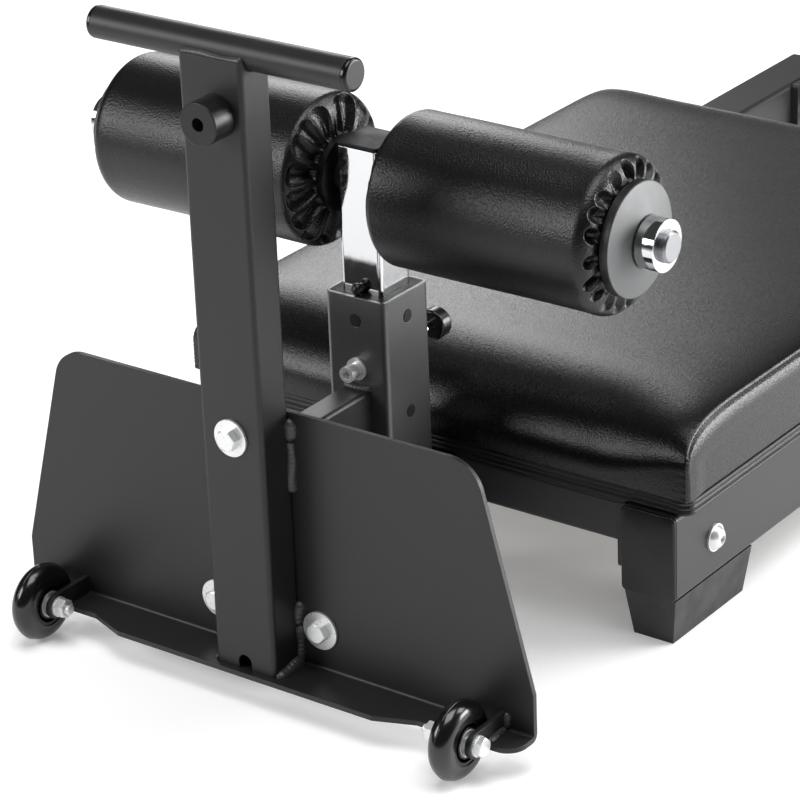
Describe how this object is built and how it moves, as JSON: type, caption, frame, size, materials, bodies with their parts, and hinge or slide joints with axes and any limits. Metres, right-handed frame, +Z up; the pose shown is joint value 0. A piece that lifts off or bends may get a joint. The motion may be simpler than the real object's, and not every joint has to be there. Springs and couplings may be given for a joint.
{
  "type": "glute ham developer",
  "caption": "Floor-height glute ham developer: foot plate with transport wheels, ankle rollers on a height-adjustable chrome post, and a padded thigh bench on two steel rails.",
  "frame": {"origin": "on the floor, at the middle of the part's bounding box seen from above", "axes": "+X across the machine, to the right when looking from the foot plate toward the pad; +Y along the machine, from the foot plate and wheels toward the rear end of the rails; +Z up"},
  "size_m": [0.656, 1.539, 0.651],
  "materials": {
    "black_paint": "semi-gloss powder coat with a fine texture",
    "zinc": "zinc plated",
    "chrome": "polished",
    "satin_steel": "satin",
    "dark_steel": "plain",
    "tyre_rubber": "smooth",
    "black_rubber": "matte",
    "black_plastic": "moulded",
    "roller_leather": "pebbled, gathered at both ends",
    "pad_leather": "grained, with stitched seams",
    "board_wood": "plain"
  },
  "bodies": {
    "frame": {"foot_plate": "black_paint", "upright_tube": "black_paint", "handle_bar": "black_paint", "handle_caps": "black_plastic", "bumper": "black_rubber", "bumper_screw": "zinc", "weld_beads": "black_paint", "wheel_arms": "black_paint", "wheel_axles": "zinc", "wheel_spacers": "zinc", "wheel_nuts": "zinc", "plate_bolts": "zinc", "plate_nuts": "zinc", "washers": "zinc", "strut_bar": "black_paint", "strut_plate": "black_paint", "spine_tubes": "black_paint", "spine_plate": "black_paint", "receiver_tube": "black_paint", "receiver_liner": "black_plastic", "receiver_screw": "zinc", "pin_barrel": "black_paint", "left_rail": "black_paint", "right_rail": "black_paint", "rail_caps": "black_plastic", "front_cross": "black_paint", "rear_cross": "black_paint", "cross_plates": "black_paint", "frame_bolts": "zinc", "frame_nuts": "zinc", "rubber_feet": "black_rubber", "foot_screws": "zinc", "pad_board": "board_wood", "pad_band": "pad_leather", "pad_cushion": "pad_leather", "pad_angles": "black_paint", "pad_screws": "zinc"},
    "post": {"chrome_post": "chrome", "post_cap": "black_plastic", "post_stop": "black_rubber", "roller_shaft": "chrome", "shaft_spacers": "black_plastic", "shaft_collars": "chrome", "collar_screws": "dark_steel"},
    "lock_pin": {"lock_pin": "chrome", "pin_knob": "black_plastic"},
    "left_roller": {"left_core": "dark_steel", "left_cushion": "roller_leather", "left_disc": "black_plastic", "left_face": "satin_steel"},
    "right_roller": {"right_core": "dark_steel", "right_cushion": "roller_leather", "right_disc": "black_plastic", "right_face": "satin_steel"},
    "left_wheel": {"left_tyre": "tyre_rubber", "left_hub": "black_plastic", "left_bearings": "zinc"},
    "right_wheel": {"right_tyre": "tyre_rubber", "right_hub": "black_plastic", "right_bearings": "zinc"}
  },
  "joints": [
    {"name": "post_height", "type": "slide", "parent": "frame", "child": "post", "axis": [0, 0, 1], "range_m": [0, 0.147]},
    {"name": "lock_pin_pull", "type": "slide", "parent": "frame", "child": "lock_pin", "axis": [0, -1, 0], "range_m": [0, 0.012]},
    {"name": "left_roller_spin", "type": "hinge", "parent": "post", "child": "left_roller", "pos_m": [0, -0.5005, 0.447], "axis": [1, 0, 0], "continuous": true},
    {"name": "right_roller_spin", "type": "hinge", "parent": "post", "child": "right_roller", "pos_m": [0, -0.5005, 0.447], "axis": [1, 0, 0], "continuous": true},
    {"name": "left_wheel_spin", "type": "hinge", "parent": "frame", "child": "left_wheel", "pos_m": [-0.2455, -0.7315, 0.0385], "axis": [1, 0, 0], "continuous": true},
    {"name": "right_wheel_spin", "type": "hinge", "parent": "frame", "child": "right_wheel", "pos_m": [0.2455, -0.7315, 0.0385], "axis": [1, 0, 0], "continuous": true}
  ]
}
